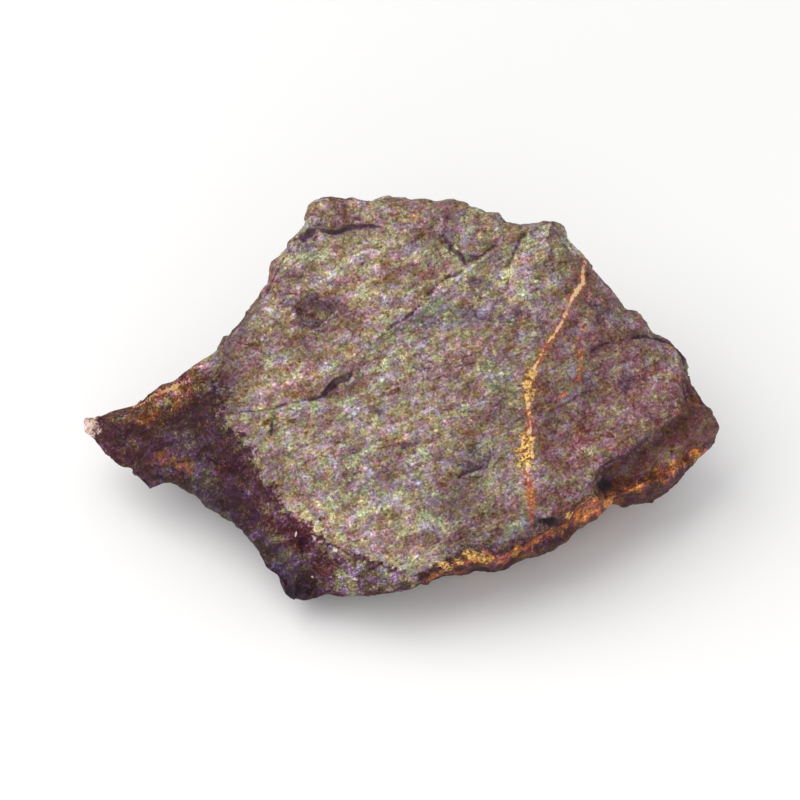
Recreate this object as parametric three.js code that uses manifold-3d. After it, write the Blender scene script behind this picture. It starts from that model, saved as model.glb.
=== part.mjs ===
// A hand specimen of massive braunite: one broken, wedge-shaped lump of dark manganese ore, 90 mm across.
//
// The stone is drawn looking square at its broken face: x runs across it, y up it and z out of it, all in
// millimetres. It is then leaned back by LEAN and cut flat underneath, so that it rests on a small foot.
// At the end +Z is up, +X is to the right of the broken face, and the face looks towards -Y and up.

import * as THREE from 'three';
import { ConvexGeometry } from 'three/addons/geometries/ConvexGeometry.js';
import { TessellateModifier } from 'three/addons/modifiers/TessellateModifier.js';
import { SimplexNoise } from 'three/addons/math/SimplexNoise.js';
import { mergeVertices } from 'three/addons/utils/BufferGeometryUtils.js';
import Module from 'manifold-3d';

const wasm = await Module();
wasm.setup();
const { Manifold, Mesh } = wasm;

// Driving dimensions
const LEAN = THREE.MathUtils.degToRad(45); // how far the drawn stone leans back when it rests
const FOOT_HEIGHT = -18.5; // height of the resting plane, measured from the drawing's origin
const BLANK_FRONT = 30; // the uncut blank reaches this far out of the page
const BLANK_BACK = -50; // and this far behind it
const GRAIN_EDGE = 3.6; // longest edge of a surface triangle
const MOST_SPLITS = 14; // enough halvings to bring the longest edge below it
const MERGE_GAP = 1e-3; // points closer than this are one point
const NOISE_SEED = 7;
// Waves of the surface roughness: their lengths, and how far each pushes the surface
const ROUGH_WAVES = [{ length: 17, push: 0.55 }, { length: 7.5, push: 0.32 }, { length: 3.6, push: 0.13 }];
const CUTTER = 240; // side of the block that makes a flat cut

// Outline of the stone, seen square to its broken face
const OUTLINE = [
  [-12.9, 27.3], [-11.2, 28.4], [-7.2, 28.9], [-4.0, 28.3], [-1.4, 28.6], [2.0, 28.1], [5.1, 27.7],
  [7.1, 28.2], [9.1, 27.7], [11.3, 26.6], [13.6, 26.5], [14.7, 25.1], [17.1, 24.5], [19.8, 24.6],
  [21.4, 25.0], [22.5, 24.4],
  [24.2, 23.1], [27.8, 18.9], [31.9, 14.4], [34.3, 12.5], [35.7, 9.8], [38.1, 9.0], [39.9, 7.6], [41.5, 4.1],
  [43.0, 0.8], [44.7, -2.1],
  [45.9, -4.4], [44.5, -6.9], [42.2, -9.8], [39.5, -12.0], [36.3, -14.2], [32.5, -14.8], [29.7, -14.4],
  [27.2, -16.0], [23.9, -19.4], [20.7, -21.5], [16.3, -22.4], [14.2, -23.8], [10.8, -23.0], [6.8, -24.6],
  [1.8, -26.0], [-3.5, -26.4], [-9.8, -27.1], [-13.2, -28.3], [-15.5, -27.3], [-17.1, -25.4], [-19.0, -23.1],
  [-19.7, -20.5], [-22.1, -18.2], [-25.3, -15.4], [-28.7, -13.2], [-31.6, -12.5], [-33.8, -11.8],
  [-35.9, -12.4], [-37.2, -11.3], [-38.6, -9.6], [-40.2, -9.5], [-41.6, -8.8], [-43.3, -7.2], [-45.8, -4.9],
  [-45.7, -3.1], [-40.3, -1.8], [-38.3, -1.1], [-35.8, 1.4], [-31.8, 3.4], [-28.6, 5.2], [-25.8, 6.3],
  [-24.1, 9.3], [-20.5, 13.9], [-19.2, 16.1], [-18.6, 19.1], [-16.3, 21.6], [-14.0, 23.3], [-13.3, 24.6],
];

// A point deep inside the stone, which every cut leaves in place
const HEART = new THREE.Vector3(2, -2, -6);

// Each facet of the stone is a flat break through three points
const BROAD_FACE = facet([-25, -2, 7.3], [0, -24, 14.5], [18.5, 20, 3.5]);
const RIGHT_FACE = facet([18.5, 20, 3.5], [18.5, -18, 13.8], [40, 0, 0.8]);
const HORN_FLANK = facet([-25, -2, 7.3], [-16.3, -15.3, 11.3], [-45, -3.5, -7]);
const LOWER_FLANK = facet([-16.3, -15.3, 11.3], [-9.2, -21.2, 13.2], [-13.3, -28.6, 8]);
const BACK_WALL = facet([-12, 28, -3], [5, 27, -7], [0, 0, -26]);
const SIDE_WALL = facet([5, 27, -7], [21, 25, -3.5], [9, 0, -26]);
const LEFT_BACK = facet([-13, 26, -3], [-25, 7, -3.5], [-9, 8, -24]);
const RIGHT_BACK = facet([22.5, 24.3, -3.5], [38.2, 8.3, -5.5], [26, -1, -24]);
const RIGHT_TIP = facet([38.2, 8.3, -5], [45, -4.2, -7], [32, -2, -18]);
const RIGHT_UNDER = facet([45, -4.2, -8.5], [36, -14, -8], [22, -8, -20]);
const HORN_BACK = facet([-26, 6.3, -3], [-45, -4, -10.5], [-22, -4, -18]);
const HORN_UNDER = facet([-45, -4, -10.5], [-26, -15.5, -3.5], [-20, -4, -22]);

// The stone is two lumps grown together: the wedge-shaped body, and the pointed horn on its left
const BODY_FACETS = [
  BROAD_FACE, RIGHT_FACE, HORN_FLANK, LOWER_FLANK,
  BACK_WALL, SIDE_WALL, LEFT_BACK, RIGHT_BACK, RIGHT_TIP, RIGHT_UNDER,
  facet([-9.2, -21.2, 13.2], [0, -24.1, 14.5], [-3.5, -26.9, 11.5]), // toe
  facet([12.9, -18.5, 13.6], [6.9, -20.7, 13.9], [14.2, -24.1, 9]), // rusty lower edge
  facet([19.4, -18.4, 13.6], [26.7, -13.4, 9.4], [20.7, -21.6, 9]), // rusty lower right edge
  facet([20.5, 22.5, 2.6], [31, 10.5, 1.7], [29.5, 15.8, -1]), // upper right shoulder
  facet([-30, -12, -4], [-14, -28.6, 1], [-18, -6, -20]), // under the left flank
  facet([1.8, -26.6, 5.5], [23.9, -19.5, 0], [8, -19.5, -5.5]), // under the front lip
];
const HORN_FACETS = [
  BROAD_FACE, HORN_FLANK, HORN_BACK, HORN_UNDER,
  facet([-25, -2, 7.3], [-25.8, 6.3, 5], [-35.8, 1.3, -1.5]), // sunlit top of the horn
  new THREE.Plane(new THREE.Vector3(1, 0, 0), 14), // root of the horn, buried in the body
];

// Shallow shell-shaped breaks: the facet that each hollows, the place on it, and the shell's radius and depth
const SHELL_BREAKS = [
  { on: BACK_WALL, at: [-5, 16], radius: 24, depth: 2.4 },
  { on: BACK_WALL, at: [-3, 3], radius: 14, depth: 1.3 },
  { on: SIDE_WALL, at: [14, 20], radius: 15, depth: 1.8 },
  { on: SIDE_WALL, at: [11, 8], radius: 18, depth: 1.6 },
  { on: RIGHT_BACK, at: [29, 6], radius: 20, depth: 1.8 },
  { on: LEFT_BACK, at: [-18, 7], radius: 18, depth: 1.8 },
  { on: HORN_BACK, at: [-31, -1], radius: 14, depth: 0.9 },
  { on: RIGHT_UNDER, at: [31, -8], radius: 16, depth: 1.2 },
  { on: HORN_UNDER, at: [-28, -9], radius: 18, depth: 1.2 },
  { on: HORN_FLANK, at: [-27, -9], radius: 70, depth: 0.9 },
  { on: BROAD_FACE, at: [4, -6], radius: 95, depth: 0.6 },
];

/** A plane through three points, facing away from the heart of the stone. */
function facet(a, b, c) {
  const plane = new THREE.Plane().setFromCoplanarPoints(
    new THREE.Vector3(...a), new THREE.Vector3(...b), new THREE.Vector3(...c));
  return plane.distanceToPoint(HEART) > 0 ? plane.negate() : plane;
}

/** Height out of the page at which a facet stands over the point x, y of the drawing. */
function heightOn(plane, x, y) {
  return -(plane.normal.x * x + plane.normal.y * y + plane.constant) / plane.normal.z;
}

/** Corners [x, y, rise] on a facet, as points of the drawing raised by rise. */
function onFacet(plane, corners) {
  return corners.map(([x, y, rise]) => new THREE.Vector3(x, y, heightOn(plane, x, y) + rise));
}

/** A closed three.js geometry as a solid that can be joined and cut. */
function toSolid(geometry) {
  const bare = new THREE.BufferGeometry();
  bare.setAttribute('position', geometry.attributes.position.clone());
  if (geometry.index) bare.setIndex(geometry.index.clone());
  const merged = mergeVertices(bare, MERGE_GAP);
  return new Manifold(new Mesh({
    numProp: 3,
    vertProperties: Float32Array.from(merged.attributes.position.array),
    triVerts: Uint32Array.from(merged.index.array),
  }));
}

/** A solid as an indexed three.js geometry. */
function toGeometry(solid) {
  const mesh = solid.getMesh();
  const geometry = new THREE.BufferGeometry();
  geometry.setAttribute('position', new THREE.BufferAttribute(Float32Array.from(mesh.vertProperties), 3));
  geometry.setIndex(new THREE.BufferAttribute(Uint32Array.from(mesh.triVerts), 1));
  return geometry;
}

/** Breaks off everything that stands outside a facet. */
function breakOff(solid, plane) {
  const block = new THREE.BoxGeometry(CUTTER, CUTTER, CUTTER).translate(0, 0, CUTTER / 2);
  const turn = new THREE.Quaternion().setFromUnitVectors(new THREE.Vector3(0, 0, 1), plane.normal);
  const foot = plane.projectPoint(HEART, new THREE.Vector3());
  block.applyQuaternion(turn).translate(foot.x, foot.y, foot.z);
  return solid.subtract(toSolid(block));
}

/** Hollows a facet with a shell-shaped break, part of a large ball. */
function breakShell(solid, { on, at, radius, depth }) {
  const centre = new THREE.Vector3(at[0], at[1], heightOn(on, ...at));
  centre.addScaledVector(on.normal, radius - depth);
  const ball = new THREE.IcosahedronGeometry(radius, 2 + Math.round(radius / 6));
  return solid.subtract(toSolid(ball.translate(centre.x, centre.y, centre.z)));
}

/** Adds a low slab that stands on a facet: its corners are [x, y, rise] and it sinks below the facet. */
function addLedge(solid, plane, corners) {
  const sunk = 1.5; // the slab's underside, below the facet
  const top = onFacet(plane, corners);
  const bottom = onFacet(plane, corners.map(([x, y]) => [x, y, -sunk]));
  return solid.add(toSolid(new ConvexGeometry([...top, ...bottom])));
}

/** Bites a chip out of a facet: its floor has the corners [x, y, rise], and it is open to the front. */
function bite(solid, plane, corners) {
  const clearance = 25; // well past the front of the stone
  const floor = onFacet(plane, corners);
  const mouth = floor.map((p) => new THREE.Vector3(p.x, p.y, p.z + clearance));
  return solid.subtract(toSolid(new ConvexGeometry([...floor, ...mouth])));
}

/** Opens a V-shaped gash along a facet from one point to another. */
function gash(solid, plane, from, to, width, depth) {
  const along = new THREE.Vector2(to[0] - from[0], to[1] - from[1]).normalize();
  const side = [-along.y * width / 2, along.x * width / 2];
  const middle = [(from[0] + to[0]) / 2, (from[1] + to[1]) / 2];
  const lip = 1; // the cutter's top, above the facet
  const corners = [
    [...from, 0], [...to, 0], [...from, lip], [...to, lip],
    [middle[0], middle[1], -depth],
    [middle[0] + side[0], middle[1] + side[1], lip], [middle[0] - side[0], middle[1] - side[1], lip],
  ];
  return solid.subtract(toSolid(new ConvexGeometry(onFacet(plane, corners))));
}

/** Digs a shallow round hollow into a facet: the part of a ball that dips below it. */
function pit(solid, plane, at, rim, depth) {
  const radius = (rim * rim + depth * depth) / (2 * depth);
  return breakShell(solid, { on: plane, at, radius, depth });
}

/** The blank: the outline, as deep as the rough lump that it was broken from. */
function makeBlank() {
  const shape = new THREE.Shape(OUTLINE.map(([x, y]) => new THREE.Vector2(x, y)));
  const block = new THREE.ExtrudeGeometry(shape, { depth: BLANK_FRONT - BLANK_BACK, bevelEnabled: false });
  return toSolid(block.translate(0, 0, BLANK_BACK));
}

/** The broken face's raised ledges: the upper left plate, its top step, and the plate on the right. */
function addFaceLedges(solid) {
  solid = addLedge(solid, BROAD_FACE, [
    [-24, 7, 0.3], [-13.5, 27, 1.3], [-7, 28.6, 1.3], [9, 27.6, 1.4], [17, 23.8, 1.5],
    [-10, 2.5, 1.0], [-18, 1.5, 0.4],
  ]);
  solid = addLedge(solid, BROAD_FACE, [
    [-13.2, 24.6, 2.5], [-12.7, 27.3, 2.2], [-7, 28.7, 2.1], [1, 28.1, 2], [-1, 25.4, 1.7], [-4, 24.8, 2.1],
  ]);
  solid = addLedge(solid, BROAD_FACE, [
    [14.3, 24.9, 1.5], [21.2, 24.9, 1.3], [20.5, 20, 0.7], [15.6, 17.5, 0.6],
  ]);
  return addLedge(solid, RIGHT_FACE, [
    [31.5, 8.3, 1.3], [35.8, 8.8, 1.5], [38.6, 7.6, 1.3], [40.7, 3.3, 0.9], [39.6, 0, 0.7], [34, -3, 0.5],
    [29.5, -0.5, 0.3], [28.5, 4, 0.6],
  ]);
}

/** The dark right flank below the broken face: a chip with a step on its left, and a shelf at its foot. */
function cutRightFlank(solid) {
  const floor = facet([28, -10.3, 7.6], [36.9, -4.4, 3], [36.1, -14, -2.5]);
  solid = bite(solid, floor, [
    [27.8, -9.9, 0], [40.2, -1.2, 0], [42.5, 1.5, 0], [47, -4, 0], [44, -18, 0], [28.6, -18, 0],
  ]);
  return addLedge(solid, floor, [
    [41.9, -8.2, 1.2], [41.2, -10, 2], [36, -14, 2.4], [29.6, -14.8, 2.2], [28.8, -13.6, 1.9],
    [35.5, -11, 1.5],
  ]);
}

/** The narrow rusty bevel along the upper left edge of the broken face. */
function bevelLeftBrow(solid) {
  const floor = facet([-22.5, 8, 4.7], [-14.5, 23, 2.4], [-20.2, 18, 0.2]);
  return bite(solid, floor, [[-23.6, 6, 0], [-14, 24, 0], [-19, 25, 0], [-27, 10, 0], [-26.5, 7.5, 0]]);
}

/** Chips, gashes and pits of the broken face. */
function markFace(solid) {
  solid = bite(solid, BROAD_FACE, [[6.4, 23.4, 0.9], [9.6, 19, -0.9], [14.2, 21.9, 0.3]]);
  solid = gash(solid, BROAD_FACE, [-13.6, 24.4], [-3.6, 24.6], 1.1, 1.4);
  solid = gash(solid, BROAD_FACE, [-12.2, -0.2], [-6.4, 3.6], 1.5, 2.2);
  solid = gash(solid, BROAD_FACE, [8.2, -10.8], [13.4, -5.6], 2.4, 1.6);
  solid = gash(solid, BROAD_FACE, [16.2, 23.6], [14.6, 18.6], 1.1, 1.2);
  solid = gash(solid, RIGHT_FACE, [30.4, 8.6], [36.6, 9.4], 1.2, 1.2);
  solid = gash(solid, RIGHT_FACE, [22, -0.6], [32, 4], 1.3, 0.7);
  solid = gash(solid, BROAD_FACE, [17.6, -18.6], [23.8, -15.6], 2.6, 2.6);
  solid = pit(solid, BROAD_FACE, [-11.4, 12.6], 2.3, 0.9);
  return pit(solid, RIGHT_FACE, [28.9, -12], 2.4, 2.2);
}

/** Splits long edges, then pushes each point a little by smooth noise, as a broken surface is never flat. */
function roughen(geometry) {
  const fine = new TessellateModifier(GRAIN_EDGE, MOST_SPLITS).modify(geometry);
  const merged = mergeVertices(fine, MERGE_GAP);
  THREE.MathUtils.seededRandom(NOISE_SEED);
  const noise = new SimplexNoise({ random: () => THREE.MathUtils.seededRandom() });
  const apart = 61.7; // distance in the noise between the pushes along x, y and z
  const position = merged.attributes.position;
  const point = new THREE.Vector3();
  for (let i = 0; i < position.count; i++) {
    point.fromBufferAttribute(position, i);
    const push = [0, 1, 2].map((axis) => ROUGH_WAVES.reduce((sum, wave) => sum + wave.push * noise.noise3d(
      point.x / wave.length + axis * apart, point.y / wave.length, point.z / wave.length), 0));
    point.add(new THREE.Vector3(...push));
    position.setXYZ(i, point.x, point.y, point.z);
  }
  return merged;
}

/** The whole stone, leaned back, cut flat underneath, and centred over the origin. */
function makeStone() {
  const blank = makeBlank();
  const body = addFaceLedges(BODY_FACETS.reduce(breakOff, blank));
  const horn = HORN_FACETS.reduce(breakOff, blank);
  let solid = bevelLeftBrow(cutRightFlank(body.add(horn))).intersect(blank);
  solid = SHELL_BREAKS.reduce(breakShell, solid);
  solid = markFace(solid);
  const stone = roughen(toGeometry(solid)).rotateX(LEAN);
  const ground = new THREE.BoxGeometry(CUTTER, CUTTER, CUTTER).translate(0, 0, FOOT_HEIGHT - CUTTER / 2);
  const cut = toGeometry(toSolid(stone).subtract(toSolid(ground)));
  cut.computeBoundingBox();
  const middle = cut.boundingBox.getCenter(new THREE.Vector3());
  return cut.translate(-middle.x, -middle.y, -cut.boundingBox.min.z);
}

const ore = new THREE.MeshStandardMaterial({ color: '#8f7c70', roughness: 0.75, metalness: 0.15 });
const specimen = new THREE.Mesh(makeStone(), ore);
specimen.name = 'braunite_lump';

const group = new THREE.Group();
group.add(specimen);

export default group;
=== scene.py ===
import math
import random

import bmesh
import bpy
import numpy as np
from mathutils import Matrix, Vector, kdtree, noise


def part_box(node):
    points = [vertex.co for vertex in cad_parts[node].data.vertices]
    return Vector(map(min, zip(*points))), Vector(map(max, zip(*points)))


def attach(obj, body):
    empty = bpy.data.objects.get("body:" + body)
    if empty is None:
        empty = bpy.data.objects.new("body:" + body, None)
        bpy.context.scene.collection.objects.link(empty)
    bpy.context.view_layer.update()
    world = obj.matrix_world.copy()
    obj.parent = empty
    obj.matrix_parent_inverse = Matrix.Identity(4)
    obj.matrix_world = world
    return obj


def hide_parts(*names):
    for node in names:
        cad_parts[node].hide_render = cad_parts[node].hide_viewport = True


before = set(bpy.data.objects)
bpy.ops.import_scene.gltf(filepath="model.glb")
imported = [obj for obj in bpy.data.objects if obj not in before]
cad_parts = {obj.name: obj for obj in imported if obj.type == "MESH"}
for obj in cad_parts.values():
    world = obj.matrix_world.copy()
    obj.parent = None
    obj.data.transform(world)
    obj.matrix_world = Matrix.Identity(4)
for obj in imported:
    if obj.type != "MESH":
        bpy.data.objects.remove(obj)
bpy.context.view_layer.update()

bl_info = {
    "name": "Braunite hand specimen",
    "version": (1, 0, 0),
    "blender": (4, 5, 0),
    "location": "View3D > Sidebar > Braunite",
    "description": "Finishes a broken lump of braunite with fracture relief and ore, vein and rust materials",
    "category": "Object",
}

# The stone was drawn looking square at its broken face, in millimetres: x across it, y up it, z out of it.
# LEAN and SHIFT carry a point of that drawing to the resting stone.
MM = 0.001
LEAN = math.radians(45)
SHIFT = Vector((-0.14, 1.77, 18.5))  # millimetres, after leaning
EYE = 629.0  # millimetres from the drawing's origin to the eye that looks square at it

NODE = "braunite_lump"
SEED = 11

FLOOR_HALF = 3.0  # metres, half the floor's side
SENSOR = 36.0  # millimetres, the camera's own width
WORLD_LIGHT = 0.6  # strength of the even light from all round
# Each lamp: its name, its place and size in metres, its power in watts and its colour
LAMPS = (
    ("key", (-0.44, 0.0, 0.58), 0.9, 3.6, (1.0, 0.985, 0.965)),
    ("fill", (0.0, -0.62, 0.30), 0.7, 1.65, (0.98, 0.99, 1.0)),
)
LAMP_AIM = Vector((0, 0, 15 * MM))

# How much the studio's light multiplies the colour of a surface that looks at the camera
STUDIO_LIGHT = 1.2


def looks(red, green, blue):
    """The colour of a surface that shows these values, out of 255, in the studio's light."""
    straight = [((v / 255 + 0.055) / 1.055) ** 2.4 / STUDIO_LIGHT for v in (red, green, blue)]
    return (*straight, 1.0)


# The stone's colours, given as they show in that light
OCHRE_GRAIN = looks(176, 134, 100)
PLATE_ORE = looks(168, 131, 117)
COOL_ORE = looks(146, 130, 134)
RIGHT_ORE = looks(140, 100, 99)
BLUSH_ORE = looks(134, 100, 98)
RED_FLANK = looks(100, 58, 50)
RIGHT_FLANK = looks(112, 72, 60)
# Painted shade for the low left flank, over its own dark colour
BLACK_FLANK_SHADE = looks(54, 38, 48)
TOE_ORE = looks(116, 95, 92)
HORN_BROWN = looks(112, 76, 58)
HORN_RUST = looks(168, 102, 70)
TIP_SHADE = looks(158, 108, 92)
TIP_CREAM = looks(246, 220, 200)
STREAK_PEACH = looks(250, 194, 148)
DARK_EDGE = looks(78, 46, 50)
RED_EDGE = looks(124, 70, 48)
DEEP_RUST = looks(152, 84, 54)
BRIGHT_RUST = looks(216, 138, 82)
DARK_GOLD = looks(142, 78, 42)
BRIGHT_GOLD = looks(255, 208, 122)
VEIN_BROWN = looks(184, 98, 60)
VEIN_PEACH = looks(255, 220, 176)
VEIN_HALO = looks(140, 88, 74)
BRANCH_RUST = looks(204, 126, 80)
SPOT_RUST = looks(158, 90, 66)
# Painted shade in the cracks and hollows
CREVICE_SHADE = looks(72, 38, 66)
# Painted shadow inside the holes
HOLE_SHADOW = looks(32, 20, 30)
# Painted highlight of the cleavage glints
GLINT = looks(250, 232, 212)
BACK_ORE = looks(92, 64, 56)

# How the olive, violet, teal and russet grains change the colour under them
OLIVE_CAST = (1.0, 1.08, 0.75, 1.0)
VIOLET_CAST = (1.02, 0.91, 1.25, 1.0)
TEAL_CAST = (0.84, 1.07, 1.05, 1.0)
RUSSET_CAST = (1.14, 0.93, 0.93, 1.0)

# A lightness of 1 multiplies a colour by this, and one of -1 divides it
LIGHTNESS_STEP = 2.718
# How much of its colour a lighter grain loses
FADING = 0.45

# The parts of the stone: what shakes each one's border and how far, and the depths between which the part
# fades in, all in millimetres
BORDERS = {
    "face": ({"ragged": 2.6, "patchy": 1.4, "grain": 1.4, "speck": 0.6}, -0.7, 0.7),
    "plate": ({"ragged": 3.0}, -1.5, 1.5),
    "right": ({"ragged": 2.0}, -1.0, 1.5),
    "black": ({"ragged": 5.0}, -2.5, 2.5),
    "toe": ({"ragged": 2.0}, -1.0, 1.0),
    "horn_top": ({"ragged": 2.5}, -1.0, 1.2),
    "tip": ({"ragged": 1.4, "grain": 0.6}, -0.3, 0.4),
    "streak": ({"ragged": 0.6, "speck": 0.3}, -0.1, 0.1),
    "edge": ({"ragged": 2.6, "grain": 0.8}, -0.7, 0.9),
    "seam": ({"ragged": 2.2, "warmth": 1.0}, -0.35, 0.35),
    "spots": ({"ragged": 3.0, "grain": 1.0}, -0.5, 0.5),
    "gold": ({"ragged": 1.2, "grain": 0.5}, -0.15, 0.15),
    "branch": ({"ragged": 0.9, "grain": 0.3}, -0.25, 0.2),
    "crack": ({"ragged": 0.5, "dust": 0.12}, -0.2, 0.1),
    "hollow": ({"ragged": 4.2, "tint": 1.5}, -0.5, 1.2),
    "hole": ({"ragged": 0.8}, -0.25, 0.25),
    "glint": ({"ragged": 0.2}, -0.12, 0.0),
}

# Grains and breaks of the colour and of the finest relief, in millimetres
GRAIN_SIZE = 0.62
SPECK_SIZE = 0.30
CRYSTAL_SIZE = 0.48
CHIP_SIZE = 1.25
STROKE_SIZE = 1.3

# The flat breaks of the relief, small chips and broader slabs: the size of one in millimetres, its length over
# its width, its tilt, its share of height on the flanks, and how much less of it the face has
BREAKS = ((2.2, 1.9, 0.16, 0.60, 0.15), (5.2, 1.5, 0.17, 0.60, 0.38))
BREAK_TURN = math.radians(-28)
# The fine roughness over them: its wave length and height in millimetres, and where its noise is read
ROUGHNESS = ((1.5, 0.08, (3.1, 0, 0)), (0.75, 0.07, (0, 5.7, 0)))

# Where the relief is whole, and where it is calm
LOOKS_UP = (0.15, 0.55)  # how squarely a point has to look at the eye for scarps, cracks and hollows
FACE_BORDER = (-0.6, 0.6)  # millimetres over which the flank's relief becomes the face's
SHARP_RIM = (0.02, 0.10)  # how sharp a rim is when its relief begins and ends to fade
RIM_CALM = 0.75  # share of the relief that a sharp rim loses

# Sizes of the relief and of the patterns, in millimetres
SCARP_EDGE = 0.3  # over which a scarp rises
SCARP_END = 2.5  # over which its two ends fade
CRACK_WANDER = (2.4, 0.35)  # wave length and reach of a crack's bends
CRACK_SHARE = (0.95, 0.85)  # shares of a crack's depth and half width that are cut
CRACK_FLARE = 0.16  # added to its half width
HOLLOW_FALL = 1.3  # how fast a hollow ends outside its oval
FOOT_SKIN = 0.25  # thickness of the foot's skin that no relief moves
SMOOTHING_LOSS = 0.05  # added all over, for what the even mesh lost
VEIN_START = 3.0  # depth under the face from which the vein runs on slanting
VEIN_SLANT = (0.3, -0.16)  # its shift across and up, for each millimetre of depth
HIDDEN_VEIN = 0.34  # its greatest half width there
FAR_OUTSIDE = -9.0  # depth where no line or spot is near
FADE = 4.0  # how fast a part ends where the stone turns away from the eye

# Lines and patches of the stone, as the eye sees them: x across and y up, in millimetres

# The pale broken face: everything outside this outline is flank, underside or back
FACE_PATCH = [
    (-26.5, 4.0), (-24.9, 0.6), (-25.0, -2.0), (-23.3, -4.4), (-20.5, -6.7), (-21.1, -8.5), (-19.5, -10.8),
    (-17.5, -12.9), (-16.3, -15.4), (-13.0, -17.3), (-12.3, -19.2), (-9.2, -21.2), (-5.9, -22.5),
    (-2.7, -23.2), (0.0, -24.2), (1.7, -26.2), (4.1, -24.0), (6.9, -22.2), (9.3, -21.5), (12.9, -20.6),
    (16.3, -20.3), (19.4, -19.2), (22.4, -16.8), (24.5, -14.9), (26.7, -13.4), (28.0, -9.9), (29.3, -8.6),
    (31.8, -7.1), (35.0, -5.4), (36.9, -4.2), (39.9, -0.1), (40.6, 3.5), (52.0, 12.0), (30.0, 36.0),
    (-16.0, 36.0), (-15.0, 24.2), (-18.6, 21.2), (-20.4, 17.4), (-21.2, 13.6), (-24.0, 10.0), (-26.6, 7.4),
    (-27.6, 5.6),
]
# Rust along the lower right edge
RUST_PATCH = [
    (2.8, -26.5), (4.1, -25.0), (6.9, -22.6), (9.3, -21.6), (12.9, -20.9), (16.3, -20.5), (19.4, -19.4),
    (22.4, -17.2), (24.5, -15.4), (27.0, -13.9), (29.3, -13.2), (32.5, -12.7), (34.7, -11.5), (37.9, -9.8),
    (41.5, -7.9), (46.5, -5.0), (50.0, -16.0), (28.0, -31.0), (3.0, -33.0),
]
# The sunlit, rusty top of the horn
HORN_TOP_PATCH = [
    (-46.0, -2.0), (-40.5, -2.7), (-37.5, -3.2), (-34.0, -3.4), (-30.5, -0.6), (-27.2, 1.6), (-25.6, 4.6),
    (-26.0, 9.0), (-36.0, 6.0), (-47.0, 0.0),
]
# The blackest part of the left flank, low down where it faces the floor: painted shade over the flank's own
# dark colour
FLANK_SHADE_PATCH = [
    (-33.0, -10.2), (-29.0, -9.6), (-25.6, -11.6), (-22.6, -15.0), (-19.6, -18.2), (-17.4, -20.0),
    (-14.0, -23.4), (-11.5, -26.6), (-10.5, -30.0), (-22.0, -32.0), (-38.0, -14.0),
]
# The greyer toe under the face
TOE_PATCH = [
    (-9.5, -21.4), (-5.9, -22.6), (-2.7, -23.4), (0.0, -24.4), (3.0, -25.6), (4.0, -30.0), (-5.0, -31.0),
    (-8.5, -26.6),
]
# The cream tip of the horn
TIP_PATCH = [(-47.0, -1.5), (-43.0, -2.4), (-42.6, -4.4), (-43.8, -5.9), (-48.0, -5.0)]
# The redder upper left plate of the face
PLATE_PATCH = [
    (-27.0, 5.0), (-19.0, 3.0), (-9.0, 3.4), (-2.8, 9.2), (1.4, 13.4), (7.1, 17.7), (14.9, 21.9),
    (16.0, 34.0), (-20.0, 34.0),
]
# The darker, browner right part of the face, beyond the vein
RIGHT_PATCH = [
    (26.5, 21.0), (25.9, 16.6), (24.5, 14.4), (22.6, 10.6), (20.8, 8.6), (19.7, 5.9), (18.4, 3.7),
    (18.1, -0.3), (18.4, -4.2), (18.7, -6.4), (18.4, -11.3), (18.7, -18.0), (30.0, -20.0), (50.0, -16.0),
    (50.0, 8.0), (36.0, 22.0),
]
# Each seam: its points with half the width there
MAIN_VEIN = [
    (26.0, 20.4, 0.12), (26.0, 19.1, 0.32), (26.0, 16.7, 0.42), (24.5, 14.6, 0.42), (23.6, 12.5, 0.36),
    (22.6, 10.5, 0.32), (21.4, 8.8, 0.24), (20.0, 6.8, 0.2), (19.4, 5.1, 0.26), (18.5, 3.8, 0.7),
    (18.3, 1.8, 0.78), (18.0, -0.3, 0.58), (18.3, -2.0, 0.24), (18.4, -4.0, 0.24), (18.1, -5.4, 0.9),
    (17.8, -7.4, 1.0), (18.0, -9.1, 0.74), (18.1, -10.5, 0.22), (18.3, -12.7, 0.14), (18.5, -15.6, 0.14),
    (18.5, -17.2, 0.06),
]
SIDE_VEIN = [
    (26.5, 11.0, 0.12), (25.3, 8.5, 0.14), (25.5, 6.8, 0.12), (25.6, 5.0, 0.2), (25.2, 3.1, 0.22),
    (24.1, 2.0, 0.1), (22.1, -0.3, 0.16), (21.1, -1.6, 0.1),
]
# Stretches where the vein is a rusty stain rather than a bright seam
RUSTY_STRETCHES = [
    [(23.4, 12.0, 0.1), (22.3, 10.2, 0.3), (20.8, 8.0, 0.4), (19.6, 5.6, 0.45), (18.8, 4.4, 0.2)],
    [(18.2, -0.4, 0.3), (18.2, -2.4, 0.42), (18.4, -4.6, 0.36), (18.2, -5.6, 0.2)],
    [(18.1, -9.4, 0.3), (18.2, -11.4, 0.46), (18.3, -13.4, 0.44), (18.6, -15.6, 0.34), (18.6, -17.4, 0.16)],
]
# The rust on the rim of the left brow
BROW_RUST = [(-18.6, 20.6, 0.1), (-19.4, 18.5, 0.4), (-19.9, 16.5, 0.4), (-20.4, 14.6, 0.1)]
# The rust that seeps out along the lower right edge
RUST_SEAM = [
    (3.5, -25.2, 0.3), (6.8, -23.8, 0.6), (9.9, -22.4, 0.8), (12.6, -22.2, 0.4), (14.6, -22.4, 0.4),
    (17.0, -20.8, 0.6), (19.0, -19.8, 0.4), (21.5, -19.0, 0.5), (23.5, -17.8, 0.8), (25.5, -16.4, 0.9),
    (27.9, -14.7, 0.8), (30.3, -13.6, 0.7), (33.1, -12.6, 0.65), (35.7, -11.0, 0.6), (38.5, -9.6, 0.6),
    (41.0, -8.3, 0.6), (42.7, -7.2, 0.3),
]
# Gold grains in the rust: the middle of each spot, half its width and half its height
GOLD_SPOTS = [
    (9.9, -21.8, 0.9, 0.6), (11.7, -22.2, 1.0, 0.6), (6.5, -23.6, 1.0, 0.7), (24.2, -16.4, 0.5, 0.5),
    (8.6, -22.8, 0.5, 0.4),
]
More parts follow.
